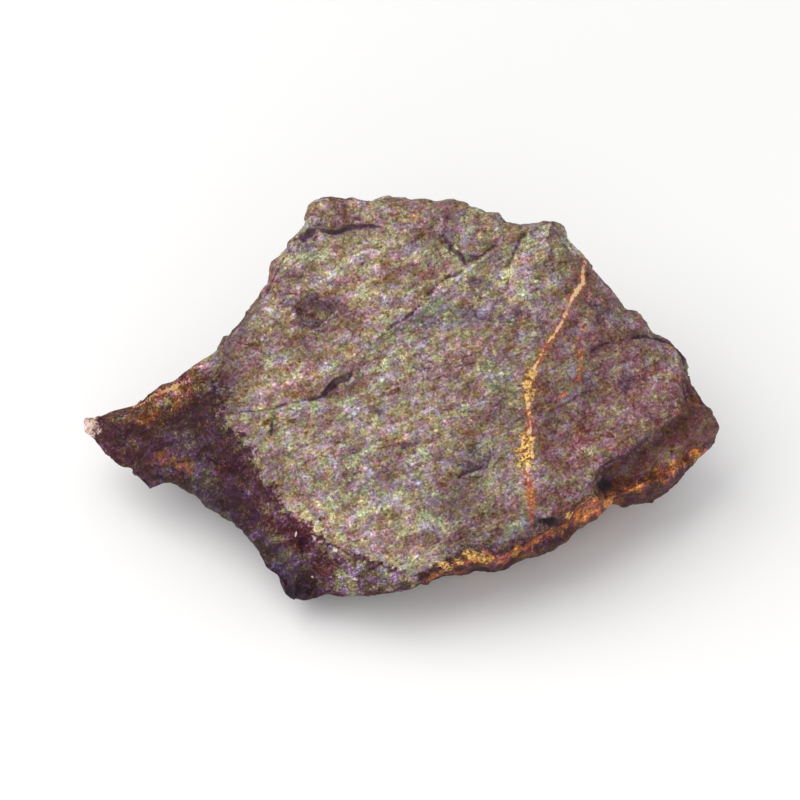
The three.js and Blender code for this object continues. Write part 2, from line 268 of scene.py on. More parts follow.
# Rusty spots and edges away from the seams
RUST_SPOTS = [
    (-18.3, 18.4, 0.35, 1.9), (-19.0, 16.1, 0.3, 1.0), (39.2, -1.6, 0.5, 0.5), (41.5, -0.1, 0.8, 0.5),
    (-30.7, -9.6, 1.5, 1.0), (-33.0, -8.3, 1.0, 0.6), (3.3, 23.2, 0.5, 0.5), (1.8, 25.9, 0.8, 0.5),
    (-8.6, 20.9, 0.6, 0.5), (2.8, 17.8, 0.5, 0.5), (26.9, 16.1, 0.4, 1.0),
]
# Lighter and darker clouds of the face, partly the ore's own tone and partly painted light and shade over the
# relief: the middle, half the length and width, the slant, how much lighter
TONES = [
    (-3.5, 17.7, 5.6, 4.2, 0.3, 0.16), (-15.6, 2.1, 4.2, 2.8, 0.2, 0.28), (-19.0, 0.0, 3.4, 3.0, 0.0, 0.16),
    (-9.9, -5.9, 5.6, 2.6, 0.1, 0.16), (-7.8, -18.7, 7.0, 2.4, -0.1, 0.34),
    (-12.0, -18.0, 3.0, 1.5, -0.7, 0.36), (0.0, -4.5, 4.6, 2.2, 0.3, 0.18), (7.8, 7.1, 4.4, 2.6, 0.4, 0.22),
    (16.6, 18.1, 3.4, 2.4, 0.2, 0.2), (25.2, -6.4, 4.2, 2.6, 0.4, 0.26), (28.3, 11.0, 2.4, 1.4, 0.0, 0.22),
    (36.1, 2.8, 2.6, 2.0, 0.2, 0.26), (0.0, -21.9, 4.2, 1.6, 0.1, 0.2), (6.4, 11.9, 5.0, 1.6, 0.1, -0.34),
    (5.9, 22.4, 2.0, 2.2, 0.0, -0.3), (-14.2, 8.2, 4.2, 1.8, 0.2, -0.2), (13.7, 1.1, 2.4, 3.4, 0.0, -0.28),
    (11.9, -8.8, 2.2, 3.2, -0.3, -0.34), (7.4, -16.1, 2.2, 2.8, 0.4, -0.3),
    (15.8, -18.4, 6.0, 1.8, 0.35, -0.3), (-9.6, 24.6, 4.4, 1.6, 0.0, -0.16),
    (-2.0, 9.1, 4.0, 1.2, 0.6, -0.16), (20.9, -3.5, 2.2, 4.6, 0.0, -0.2), (28.3, 4.0, 5.2, 1.4, 0.4, -0.2),
    (11.0, 21.2, 2.2, 1.6, 0.5, -0.18), (-18.1, -9.9, 2.6, 2.0, -0.6, -0.18),
    (34.0, 7.1, 3.4, 1.6, 0.0, -0.14), (-23.0, 9.6, 6.5, 1.6, 1.02, -0.34),
    (-24.6, 2.4, 2.2, 3.2, 0.0, -0.36), (-2.0, 19.6, 2.6, 2.2, 0.0, 0.16),
    (-2.8, 26.6, 2.6, 1.4, 0.0, 0.16), (-14.0, 21.6, 2.0, 2.4, 0.0, -0.2), (7.8, 16.0, 3.4, 1.3, 0.6, 0.26),
    (16.6, 18.2, 2.0, 1.8, 0.0, 0.12), (20.6, 21.8, 1.4, 1.4, 0.0, 0.16), (14.8, 3.4, 2.0, 1.8, 0.0, -0.16),
    (8.8, -12.4, 3.2, 2.2, 0.3, -0.26), (-12.0, 5.0, 1.8, 1.6, 0.0, -0.14),
    (-2.2, -5.6, 3.2, 1.5, 0.6, 0.14), (35.2, 12.4, 2.2, 1.6, 0.0, 0.26), (26.6, -5.6, 2.6, 2.0, 0.3, 0.14),
    (13.6, 14.6, 4.0, 3.0, 0.0, 0.16), (11.5, -14.8, 4.5, 2.4, 0.2, -0.26),
    (10.5, -20.6, 4.5, 1.5, 0.3, -0.32), (32.0, 3.0, 8.0, 6.0, 0.0, 0.1), (38.5, -7.2, 7.0, 2.6, 0.6, 0.3),
    (35.2, -7.0, 6.4, 1.1, 0.6, -0.5), (-31.0, -3.0, 8.0, 4.5, 0.1, -0.24),
    (-29.0, -7.0, 5.0, 4.0, 0.0, -0.26), (-6.4, 20.1, 1.3, 1.1, 0.0, -0.6),
    (1.4, 12.7, 0.9, 0.6, 0.4, 0.45), (26.0, 3.0, 4.0, 6.0, 0.0, -0.2),
    (-17.5, -17.5, 5.0, 3.6, -0.9, 0.26), (-9.5, -25.5, 4.0, 2.4, 0.0, 0.26),
    (-4.0, -12.7, 4.2, 1.6, 0.1, -0.1), (3.5, -9.9, 2.6, 1.8, 0.2, 0.14), (32.5, -2.8, 3.4, 2.0, 0.5, 0.12),
]
# Redder clouds of the face: the middle, half the length and width, the slant, how much redder
BLUSHES = [
    (-7.8, 26.2, 6.4, 2.0, 0.0, 0.55), (9.9, 24.6, 7.0, 2.0, -0.1, 0.45), (-23.0, 9.8, 7.0, 2.0, 1.02, 0.8),
    (7.8, -18.7, 8.0, 2.6, 0.3, 0.5), (14.2, -0.3, 2.2, 7.4, 0.0, 0.45), (-14.2, 7.6, 4.4, 1.8, 0.1, 0.5),
    (-9.9, 12.5, 3.4, 3.0, 0.0, 0.4), (-23.8, 1.4, 2.8, 3.6, 0.0, 0.6), (-2.8, 12.7, 1.6, 4.0, -0.7, 0.35),
    (0.6, -9.9, 8.0, 1.6, 0.1, 0.25), (-15.6, -9.9, 2.6, 3.4, -0.8, 0.35), (4.2, 1.4, 5.0, 1.8, 0.3, 0.25),
    (22.6, 14.2, 2.0, 4.0, -0.5, 0.3), (10.0, -14.0, 6.0, 3.0, 0.2, 0.4), (10.5, -20.6, 5.0, 2.0, 0.3, 0.6),
    (-24.6, 2.4, 2.2, 3.4, 0.0, 0.5),
]
# Bluer clouds of the face: the middle, half the length and width, the slant, how much bluer
COOL_CLOUDS = [
    (12.0, 12.4, 4.6, 2.0, 0.1, 0.7), (2.4, 11.0, 3.4, 1.6, 0.4, 0.4), (-4.0, -11.0, 5.0, 2.0, 0.0, 0.3),
    (5.6, -8.4, 3.6, 1.6, 0.2, 0.4), (31.0, 12.0, 2.6, 1.6, 0.0, 0.4),
]
# The two holes of the lower right edge and one low on the left, with their shadow painted near black: the
# middle, half the width and height
HOLES = [(29.0, -12.1, 1.3, 0.8), (21.2, -17.3, 1.7, 0.55), (-15.8, -27.6, 0.9, 1.2)]
# Places where the rim is worn back: the middle, half the width and height, and how deep
WORN_RIM = [
    (33.4, 13.2, 2.0, 1.6, 0.8), (40.9, 4.4, 1.3, 1.6, 0.5), (-2.9, 29.0, 4.0, 1.6, 0.55),
    (33.0, -15.0, 3.6, 1.2, 1.1), (-36.0, -11.4, 1.5, 1.3, 0.5), (42.9, 0.6, 1.6, 2.4, 0.5),
    (-17.8, -25.6, 1.6, 2.0, 0.5),
]
# Bright streaks along the top of the horn
HORN_STREAKS = [
    [(-35.3, 0.7, 0.08), (-34.0, 1.2, 0.24), (-32.1, 1.8, 0.26), (-30.1, 2.6, 0.08)],
    [(-37.6, -1.0, 0.05), (-36.4, -0.3, 0.16), (-35.3, 0.2, 0.05)],
]
# Each scarp: its points, the rise on its left as it is followed, and how far the rise fades
SCARPS = [
    ([(-8.8, 1.8), (-6.8, 3.3), (-4.5, 6.8), (-1.7, 9.9), (1.1, 11.6),
      (2.5, 13.3), (6.8, 17.4), (9.3, 18.7), (11.9, 20.9), (14.7, 22.2)], 0.7, 3.0),
    ([(5.8, 23.5), (7.4, 21.8), (8.9, 19.5), (11.9, 20.9)], 0.3, 2.0),
    ([(17.7, 23.8), (15.8, 20.2), (14.0, 16.8), (12.5, 14.2)], -0.35, 2.4),
    ([(1.1, 2.3), (5.9, 4.4), (10.6, 8.2), (17.4, 10.9)], 0.22, 3.0),
    ([(-1.6, -7.2), (4.4, -4.4), (8.2, -0.4), (13.7, 2.3)], 0.2, 2.8),
    ([(27.2, 7.1), (29.7, 8.2), (32.5, 8.8), (35.1, 8.9)], -0.4, 2.0),
    ([(22.1, -1.0), (24.8, 0.3), (27.9, 1.6), (31.8, 4.0)], 0.3, 2.2),
    ([(22.4, -5.7), (26.9, -3.7), (32.5, -1.0)], 0.24, 2.2),
    ([(-22.1, 3.3), (-15.4, 5.7), (-9.9, 8.5)], 0.2, 2.4),
    ([(-20.1, -2.4), (-12.9, -1.6), (-7.2, 2.3)], 0.22, 2.4),
    ([(-14.4, -14.2), (-6.2, -13.2), (2.0, -12.6), (10.2, -11.0)], 0.2, 2.0),
    ([(-11.0, -17.5), (-3.4, -16.8), (5.7, -16.4), (14.9, -14.2)], 0.18, 1.6),
    ([(-8.1, -20.4), (-1.0, -20.2), (6.4, -19.4)], 0.16, 1.4),
    ([(-38.5, -4.2), (-33.7, -4.2), (-30.3, -1.4), (-27.0, 0.8)], 0.35, 2.2),
    ([(-33.7, -9.3), (-27.5, -7.4), (-22.8, -10.2)], 0.4, 2.2),
    ([(-24.3, -10.6), (-22.4, -13.4), (-20.4, -16.3), (-20.8, -18.1), (-15.6, -22.6)], 0.45, 1.8),
    ([(-14.2, -19.2), (-11.6, -22.1), (-6.8, -23.5), (0.0, -24.1)], 0.35, 1.6),
]
# Each crack: its points with half its width there, and its depth
CRACKS = [
    ([(-13.6, 23.2, 0.6), (-12.9, 23.6, 0.5), (-11.8, 24.1, 0.22), (-9.9, 23.8, 0.22),
      (-7.1, 24.3, 0.26), (-4.8, 24.6, 0.22), (-2.5, 24.5, 0.05)], 0.5),
    ([(-6.8, 3.8, 0.1), (-7.6, 3.2, 0.34), (-8.8, 2.7, 0.44),
      (-9.9, 1.7, 0.42), (-11.0, 0.7, 0.26), (-12.5, 0.1, 0.1)], 0.8),
    ([(-12.5, 0.1, 0.07), (-14.2, -0.1, 0.07), (-16.1, -0.6, 0.05),
      (-19.5, -1.3, 0.03), (-23.2, -1.6, 0.03)], 0.2),
    ([(-17.4, -2.1, 0.12), (-18.1, -2.6, 0.14), (-18.3, -4.4, 0.14), (-18.3, -6.2, 0.06)], 0.5),
    ([(-4.5, -5.7, 0.05), (-1.7, -5.5, 0.04)], 0.2),
    ([(8.3, -11.0, 0.08), (9.1, -10.3, 0.18), (10.2, -9.8, 0.18), (11.5, -9.5, 0.06)], 0.6),
    ([(-17.0, -15.0, 0.09), (-15.8, -16.0, 0.14), (-14.7, -16.8, 0.07)], 0.4),
    ([(-12.6, -19.0, 0.07), (-11.5, -19.5, 0.13), (-10.3, -20.0, 0.06)], 0.4),
    ([(-9.9, -20.5, 0.07), (-7.9, -21.4, 0.1), (-5.7, -22.4, 0.04)], 0.3),
    ([(5.7, 23.6, 0.14), (6.7, 22.6, 0.26), (7.6, 21.4, 0.32), (8.8, 19.8, 0.22), (9.2, 19.2, 0.06)], 0.6),
    ([(9.3, 18.7, 0.04), (8.2, 18.1, 0.18), (6.8, 17.4, 0.16), (5.7, 16.8, 0.04)], 0.45),
    ([(18.1, 24.2, 0.12), (17.4, 23.1, 0.2), (16.4, 21.5, 0.16),
      (15.7, 20.0, 0.12), (15.0, 18.7, 0.04)], 0.4),
    ([(21.4, 24.3, 0.14), (21.1, 23.2, 0.14), (20.7, 22.6, 0.04)], 0.5),
    ([(2.8, 13.7, 0.04), (1.7, 12.2, 0.16), (0.3, 11.3, 0.1), (-1.1, 10.6, 0.14), (-1.7, 9.5, 0.04)], 0.4),
    ([(-20.4, 7.6, 0.06), (-19.5, 6.8, 0.1), (-18.3, 6.1, 0.04)], 0.2),
    ([(40.6, 4.8, 0.06), (39.5, 6.8, 0.16), (37.9, 8.1, 0.2), (35.1, 9.1, 0.2),
      (32.8, 8.8, 0.14), (30.0, 8.3, 0.1), (27.2, 7.1, 0.05)], 0.4),
    ([(28.0, 1.7, 0.04), (25.5, 0.6, 0.12), (23.1, -0.6, 0.09), (21.2, -1.7, 0.04)], 0.25),
    ([(40.2, 2.8, 0.16), (40.8, 1.4, 0.14), (41.0, 0.4, 0.06)], 0.5),
    ([(36.8, -4.2, 0.04), (34.7, -5.9, 0.17), (32.3, -7.5, 0.22),
      (30.0, -8.6, 0.14), (28.4, -9.9, 0.07)], 0.3),
    ([(-22.2, -13.3, 0.09), (-21.2, -14.6, 0.16), (-20.4, -16.1, 0.17), (-20.7, -17.8, 0.09)], 0.5),
    ([(-15.8, 21.2, 0.07), (-17.3, 19.5, 0.1), (-18.1, 17.0, 0.1), (-19.0, 15.0, 0.06)], 0.2),
    ([(9.9, 14.2, 0.04), (11.0, 11.6, 0.09), (14.2, 11.0, 0.09), (17.0, 11.6, 0.04)], 0.15),
    ([(3.0, 14.2, 0.04), (4.6, 15.6, 0.12), (5.8, 16.7, 0.06), (6.9, 17.6, 0.05)], 0.3),
    ([(9.3, 19.0, 0.04), (10.8, 20.0, 0.14), (12.6, 21.2, 0.12), (14.4, 22.0, 0.04)], 0.35),
]
# Each hollow: its middle, half its width and height, its depth
HOLLOWS = [
    (-11.7, 13.7, 2.0, 1.4, 0.4), (-9.8, 12.5, 1.4, 1.8, 0.35), (-11.9, 10.8, 1.6, 1.2, 0.4),
    (-14.0, 13.0, 1.4, 1.0, 0.25), (-15.4, 17.8, 1.4, 0.9, 0.25), (29.1, -11.5, 1.5, 1.1, 0.9),
    (20.9, -17.4, 1.7, 0.7, 0.8), (11.3, 16.0, 2.4, 1.5, 0.25), (15.0, 11.6, 2.2, 1.0, 0.2),
    (-12.9, 22.9, 0.9, 0.9, 0.6), (11.0, -8.3, 1.8, 1.1, 0.3), (28.3, 12.2, 1.8, 1.4, 0.25),
    (22.9, -3.0, 2.0, 0.9, 0.2), (32.5, 2.7, 1.8, 1.2, 0.25), (2.8, 4.5, 1.6, 0.9, 0.15),
    (-2.8, -1.7, 1.1, 0.9, 0.12), (1.4, -6.7, 1.1, 0.9, 0.15), (-31.4, -6.2, 2.4, 1.3, 0.3),
    (-24.3, -12.7, 2.4, 1.4, 0.35), (-15.8, -26.9, 1.5, 1.6, 0.6),
]
# Painted highlights, the bright cleavage glints along the left border of the face: middle, half length, half
# width, slant
GLINTS = [
    (-15.0, -19.0, 0.42, 0.3, 1.2), (-12.2, -19.5, 0.36, 0.16, -0.6), (-9.1, -21.2, 0.34, 0.2, -0.7),
    (-6.4, -25.0, 0.55, 0.16, -0.5), (-9.8, -24.9, 0.2, 0.14, 0.3), (-14.4, 15.8, 0.24, 0.2, 0.9),
    (-12.6, -25.3, 0.14, 0.14, 0.0),
]


class STONE_PG_finish(bpy.types.PropertyGroup):
    """Sizes and colours of the stone's finish."""
    grain_step: bpy.props.FloatProperty(
        name="Surface step", description="Distance between the points of the finished surface",
        default=0.38 * MM, unit="LENGTH", precision=5)
    relief: bpy.props.FloatProperty(
        name="Relief", description="Height of the hackly fracture relief, as a share of the real one's",
        default=1.0, min=0.0, max=3.0, subtype="FACTOR")
    face_colour: bpy.props.IntVectorProperty(
        name="Broken face", description="How the fresh broken face looks in the studio's light, out of 255",
        default=(166, 147, 132), min=0, max=255)
    # The flanks' colour is their own dark colour with painted shade in it
    flank_colour_and_shade: bpy.props.IntVectorProperty(
        name="Flanks", description="How the dark weathered flanks look in the studio's light, out of 255",
        default=(78, 41, 49), min=0, max=255)


class STONE_PG_stage(bpy.types.PropertyGroup):
    """Camera and floor."""
    elevation: bpy.props.FloatProperty(
        name="Camera elevation", description="How steeply the camera looks down",
        default=LEAN, subtype="ANGLE")
    distance: bpy.props.FloatProperty(
        name="Camera distance", description="From the camera to the middle of the view",
        default=EYE * MM, unit="LENGTH")
    view_width: bpy.props.FloatProperty(
        name="View width", description="Width of the view at the stone",
        default=113.2 * MM, unit="LENGTH")
    floor_colour: bpy.props.FloatVectorProperty(
        name="Floor", description="Colour of the pale floor",
        default=(0.95, 0.95, 0.95), subtype="COLOR", min=0.0, max=1.0)


# Numbers over the surface


class Surface:
    """The finished surface's points, with the drawing's coordinates of each."""

    def __init__(self, mesh):
        count = len(mesh.vertices)
        self.points = np.empty(count * 3)
        mesh.vertices.foreach_get("co", self.points)
        self.points = self.points.reshape(-1, 3)
        self.normals = np.empty(count * 3, dtype=np.float32)
        mesh.vertex_normals.foreach_get("vector", self.normals)
        self.normals = self.normals.reshape(-1, 3).astype(float)
        unlean = np.array(Matrix.Rotation(-LEAN, 3, "X"))
        self.drawn = (self.points / MM - np.array(SHIFT)) @ unlean.T
        self.outward = self.normals @ unlean.T
        nearness = EYE / (EYE - self.drawn[:, 2])
        self.seen = self.drawn[:, :2] * nearness[:, None]
        ends = np.empty(len(mesh.edges) * 2, dtype=np.int64)
        mesh.edges.foreach_get("vertices", ends)
        self.ends = ends.reshape(-1, 2)
        self.valence = np.bincount(ends, minlength=count)

    def blurred(self, values, times):
        """Values at the points, each time averaged with those of the neighbouring points."""
        start, end = self.ends.T
        for _ in range(times):
            total = (np.bincount(start, values[end], len(values))
                     + np.bincount(end, values[start], len(values)))
            values = 0.5 * values + 0.5 * total / self.valence
        return values


def smoothstep(low, high, value):
    """0 below low, 1 above high, with a soft ramp between them."""
    t = np.clip((value - low) / (high - low), 0, 1)
    return t * t * (3 - 2 * t)


def nearest_on_line(seen, line):
    """For each point, its distance to a line, which side it is on, and the line's own third number there."""
    best = np.full(len(seen), np.inf)
    side = np.zeros(len(seen))
    carried = np.zeros(len(seen))
    for start, end in zip(line[:-1], line[1:]):
        a, b = np.array(start[:2]), np.array(end[:2])
        along = b - a
        share = np.clip((seen - a) @ along / (along @ along), 0, 1)
        offset = seen - (a + share[:, None] * along)
        distance = np.hypot(offset[:, 0], offset[:, 1])
        closer = distance < best
        best[closer] = distance[closer]
        side[closer] = np.sign(along[0] * offset[:, 1] - along[1] * offset[:, 0])[closer]
        if len(start) > 2:
            carried[closer] = (start[2] + share * (end[2] - start[2]))[closer]
    return best, side, carried


def depth_inside(seen, patch):
    """Signed distance to a closed patch's edge, positive inside it."""
    distance = nearest_on_line(seen, patch + patch[:1])[0]
    inside = np.zeros(len(seen), dtype=bool)
    for (ax, ay), (bx, by) in zip(patch, patch[1:] + patch[:1]):
        crosses = (ay > seen[:, 1]) != (by > seen[:, 1])
        at = ax + (seen[:, 1] - ay) * (bx - ax) / (by - ay if by != ay else 1e-9)
        inside ^= crosses & (seen[:, 0] < at)
    return np.where(inside, distance, -distance)


def chip_planes(drawn, cell, stretch, tilt, rng):
    """Height of small flat chips: each point takes the tilted plane of the chip that it lies on."""
    turn = np.array(Matrix.Rotation(BREAK_TURN, 3, "Z"))
    laid = (drawn @ turn.T) / np.array((stretch, 1.0, 1.0)) / cell
    low = np.floor(laid.min(0)).astype(int) - 1
    high = np.ceil(laid.max(0)).astype(int) + 1
    seeds = [(x + rng.random(), y + rng.random(), z + rng.random())
             for x in range(low[0], high[0]) for y in range(low[1], high[1]) for z in range(low[2], high[2])]
    tilts = np.array([[rng.gauss(0, tilt) for _ in range(3)] for _ in seeds])
    steps = np.array([rng.gauss(0, 0.5 * tilt) for _ in seeds])
    tree = kdtree.KDTree(len(seeds))
    for index, seed in enumerate(seeds):
        tree.insert(seed, index)
    tree.balance()
    seeds = np.array(seeds)
    owners = np.array([[found[1] for found in tree.find_n(p, 2)] for p in laid])
    first, second = (((laid - seeds[owner]) * tilts[owner]).sum(1) + steps[owner] for owner in owners.T)
    return cell * np.minimum(first, second + 0.5 * tilt)


def noise_over(points, scale, offset):
    """Smooth noise, from -1 to 1, at the given wave length in millimetres."""
    shift = Vector(offset)
    return np.array([noise.noise(Vector(p) / scale + shift) for p in points])


# Shader sums


class Signal:
    """A number that changes over the surface: a node's output socket that can stand in a sum."""

    def __init__(self, paint, socket):
        self.paint = paint
        self.socket = socket

    def _math(self, operation, *values, clamp=False):
        node = self.paint.node("ShaderNodeMath", {"operation": operation, "use_clamp": clamp},
                               {i: v for i, v in enumerate(values)})
        return Signal(self.paint, node.outputs[0])

    def __add__(self, other):
        return self._math("ADD", self, other)

    __radd__ = __add__

    def __sub__(self, other):
        return self._math("SUBTRACT", self, other)

    def __rsub__(self, other):
        return self._math("SUBTRACT", other, self)

    def __mul__(self, other):
        return self._math("MULTIPLY", self, other)

    __rmul__ = __mul__

    def __rpow__(self, other):
        return self._math("POWER", other, self)

    def clamp(self):
        """The number, held between 0 and 1."""
        return self._math("ADD", self, 0.0, clamp=True)

    def most(self, other):
        """The greater of two numbers."""
        return self._math("MAXIMUM", self, other)

    def ramp(self, low, high):
        """0 at low and 1 at high, with a soft ramp between them."""
        node = self.paint.node("ShaderNodeMapRange", {"interpolation_type": "SMOOTHSTEP"},
                               {"Value": self, "From Min": low, "From Max": high})
        return Signal(self.paint, node.outputs["Result"])


class Paint:
    """A material's nodes, and the few ways in which this stone's patterns are made."""

    def __init__(self, name):
        self.material = bpy.data.materials.new(name)
        self.material.use_nodes = True
        self.tree = self.material.node_tree
        self.shader = self.tree.nodes["Principled BSDF"]

    def node(self, kind, settings=None, inputs=None):
        """A new node with its settings, and the values or links of its inputs."""
        made = self.tree.nodes.new(kind)
        for key, value in (settings or {}).items():
            setattr(made, key, value)
        for key, value in (inputs or {}).items():
            self.feed(made.inputs[key], value)
        return made

    def feed(self, socket, value):
        """Give a socket a value, or link it to a signal or another socket."""
        if isinstance(value, Signal):
            value = value.socket
        if isinstance(value, bpy.types.NodeSocket):
            self.tree.links.new(value, socket)
        else:
            socket.default_value = value

    def carried(self, name):
        """A number that the mesh carries at each point."""
        node = self.node("ShaderNodeAttribute", {"attribute_name": name})
        return Signal(self, node.outputs["Fac"])

    def place(self, turn=0.0, stretch=(1.0, 1.0, 1.0), shift=(0, 0, 0)):
        """The drawing's coordinates, in millimetres, turned in the face, stretched and shifted."""
        drawn = self.node("ShaderNodeAttribute", {"attribute_name": "drawn"})
        mapped = self.node("ShaderNodeMapping", {"vector_type": "TEXTURE"}, {
            "Vector": drawn.outputs["Vector"], "Location": shift, "Rotation": (0, 0, turn), "Scale": stretch})
        return mapped.outputs["Vector"]

    def noise(self, place, size, detail, rough):
        """Cloudy noise about 0, with clouds of the given size in millimetres."""
        node = self.node("ShaderNodeTexNoise", None, {
            "Vector": place, "Scale": 1.0 / size, "Detail": detail, "Roughness": rough})
        return (Signal(self, node.outputs["Fac"]) - 0.5) * 2.0

    def grains(self, place, size):
        """Crystal grains: two random numbers for each, and the distance from its middle."""
        node = self.node("ShaderNodeTexVoronoi", {"feature": "F1"},
                         {"Vector": place, "Scale": 1.0 / size, "Randomness": 1.0})
        parts = self.node("ShaderNodeSeparateColor", None, {"Color": node.outputs["Color"]})
        shown = (parts.outputs[0], parts.outputs[1], node.outputs["Distance"])
        return [Signal(self, socket) for socket in shown]

    def vectors(self, operation, first, second):
        """A sum of two vectors, or of a vector and a number."""
        key = "Scale" if operation == "SCALE" else 1
        node = self.node("ShaderNodeVectorMath", {"operation": operation}, {0: first, key: second})
        return node.outputs["Value" if operation == "DOT_PRODUCT" else "Vector"]

    def strokes(self, place, size):
        """Short dark lines along the borders of small breaks, broken off where a noise fades."""
        node = self.node("ShaderNodeTexVoronoi", {"feature": "DISTANCE_TO_EDGE"},
                         {"Vector": place, "Scale": 1.0 / size, "Randomness": 1.0})
        shown = self.noise(place, size * 1.1, detail=2.0, rough=0.7).ramp(0.12, 0.4)
        return (1.0 - Signal(self, node.outputs["Distance"]).ramp(0.03, 0.17)) * shown

    def shaken(self, place, wave, reach):
        """The same coordinates, shaken by noise, so that no border in them is straight."""
        node = self.node("ShaderNodeTexNoise", None, {"Vector": place, "Scale": 1.0 / wave, "Detail": 2.0})
        shake = self.vectors("SUBTRACT", node.outputs["Color"], (0.5, 0.5, 0.5))
        return self.vectors("ADD", place, self.vectors("SCALE", shake, reach))

    def breaks(self, place, size):
        """Small flat breaks, each leaning its own way: their height, and a random number for each."""
        node = self.node("ShaderNodeTexVoronoi", {"feature": "F1"},
                         {"Vector": place, "Scale": 1.0 / size, "Randomness": 1.0})
        offset = self.vectors("SUBTRACT", place, node.outputs["Position"])
        lean = self.vectors("SUBTRACT", node.outputs["Color"], (0.5, 0.5, 0.5))
        parts = self.node("ShaderNodeSeparateColor", None, {"Color": node.outputs["Color"]})
        return Signal(self, self.vectors("DOT_PRODUCT", offset, lean)), Signal(self, parts.outputs[1])

    def mix(self, share, low, high, blend="MIX"):
        """A colour between two colours."""
        node = self.node("ShaderNodeMix", {"data_type": "RGBA", "blend_type": blend})
        self.feed(node.inputs["Factor"], share)
        self.feed(node.inputs[6], low)
        self.feed(node.inputs[7], high)
        return node.outputs[2]

    def faded(self, colour, lightness):
        """A colour whose lighter grains are greyer and whose darker grains are richer."""
        node = self.node("ShaderNodeHueSaturation", None,
                         {"Color": colour, "Saturation": LIGHTNESS_STEP ** (lightness * -FADING)})
        return node.outputs["Color"]

    def shaded(self, colour, lightness):
        """A colour made lighter, or darker where the lightness is below 0."""
        if isinstance(colour, tuple):
            colour = colour[:3]
        return self.vectors("SCALE", colour, LIGHTNESS_STEP ** lightness)


class Patterns:
    """The noises and grains of the stone, and the parts whose borders they shake."""

    def __init__(self, paint):
        place = paint.place()
        streaked = paint.place(turn=math.radians(28), stretch=(2.9, 1.0, 1.8))
        chipped = paint.shaken(paint.place(turn=math.radians(35), stretch=(1.7, 1.0, 1.2)), 0.9, 1.1)
        broken = paint.shaken(paint.place(turn=math.radians(20), stretch=(2.2, 1.0, 1.4)), 2.6, 4.0)
        self.tone = paint.noise(place, 7.0, detail=6.0, rough=0.92)
        self.tint = paint.noise(paint.place(shift=(31, 7, 3)), 1.5, detail=1.0, rough=0.6)
        self.heat = paint.noise(paint.place(shift=(3, 37, 13)), 1.5, detail=1.0, rough=0.6)
        self.warmth = paint.noise(paint.place(shift=(5, 43, 11)), 2.6, detail=2.5, rough=0.75)
        self.drift = paint.noise(paint.place(shift=(17, 3, 29)), 9.0, detail=1.5, rough=0.6)
        self.patchy = paint.noise(paint.place(shift=(41, 13, 7)), 3.4, detail=3.0, rough=0.7)
        self.ragged = paint.noise(paint.place(shift=(2, 19, 23)), 1.3, detail=4.0, rough=0.8)
        self.streaks = paint.noise(streaked, 2.4, detail=5.0, rough=0.85)
        self.dust = paint.noise(place, 0.34, detail=1.5, rough=0.9)
        self.grain, self.hue, _ = paint.grains(place, GRAIN_SIZE)
        self.speck, self.spark, self.far = paint.grains(place, SPECK_SIZE)
        self.chips, self.chip_tone = paint.breaks(chipped, CHIP_SIZE)
        self.crystals, self.crystal_tone = paint.breaks(paint.shaken(place, 0.5, 0.35), CRYSTAL_SIZE)
        self.strokes = paint.strokes(broken, STROKE_SIZE)
        self.mottle = self.tone * 2.0 + self.streaks * 2.1
        self.grit = (self.mottle + self.dust * 1.05 + (self.speck - 0.5) * 0.6
                     + (self.crystal_tone - 0.5) * 0.42 + (self.chip_tone - 0.5) * 0.3
                     - self.strokes * 0.9 - 0.02)
        # Lighter and darker clouds, partly the ore's own tone and partly painted light and shade
        self.cloud = paint.carried("cloud") * 1.1
        self.back = (self.ragged * 0.8 - paint.carried("front")).ramp(0.0, 0.8)
        shakes = {
            "ragged": self.ragged, "patchy": self.patchy, "warmth": self.warmth, "dust": self.dust,
            "tint": self.tint, "grain": self.grain - 0.5, "speck": self.speck - 0.5,
        }
        self.parts = {}
        for name, (shaken_by, low, high) in BORDERS.items():
            depth = paint.carried(name)
            for pattern, reach in shaken_by.items():
                depth = depth + shakes[pattern] * reach
            self.parts[name] = depth.ramp(low, high)


def face_look(paint, bits, finish):
    """The fresh broken face: grey brown ore with ochre, redder and cooler clouds."""
    right = bits.parts["right"]
    ore = paint.mix((bits.warmth * 3.0).ramp(-0.2, 1.0) * 0.4, looks(*finish.face_colour), OCHRE_GRAIN)
    ore = paint.mix(bits.parts["plate"] * 0.35, ore, PLATE_ORE)
    ore = paint.mix((bits.drift * 3.0).ramp(0.0, 1.2) * 0.4, ore, COOL_ORE)
    ore = paint.mix(right * 0.7, ore, RIGHT_ORE)
    for name, colour in (("blush", BLUSH_ORE), ("cool", COOL_ORE)):
        ore = paint.mix((paint.carried(name) + bits.ragged * 0.4).clamp(), ore, colour)
    dark_grains = bits.spark.ramp(0.86, 0.95) * 0.5
    pale_grains = bits.hue.ramp(0.92, 0.96) * 0.4
    lightness = bits.grit * (0.86 - right * 0.1) + bits.cloud - dark_grains + pale_grains
    return paint.shaded(paint.faded(ore, bits.grit), lightness)


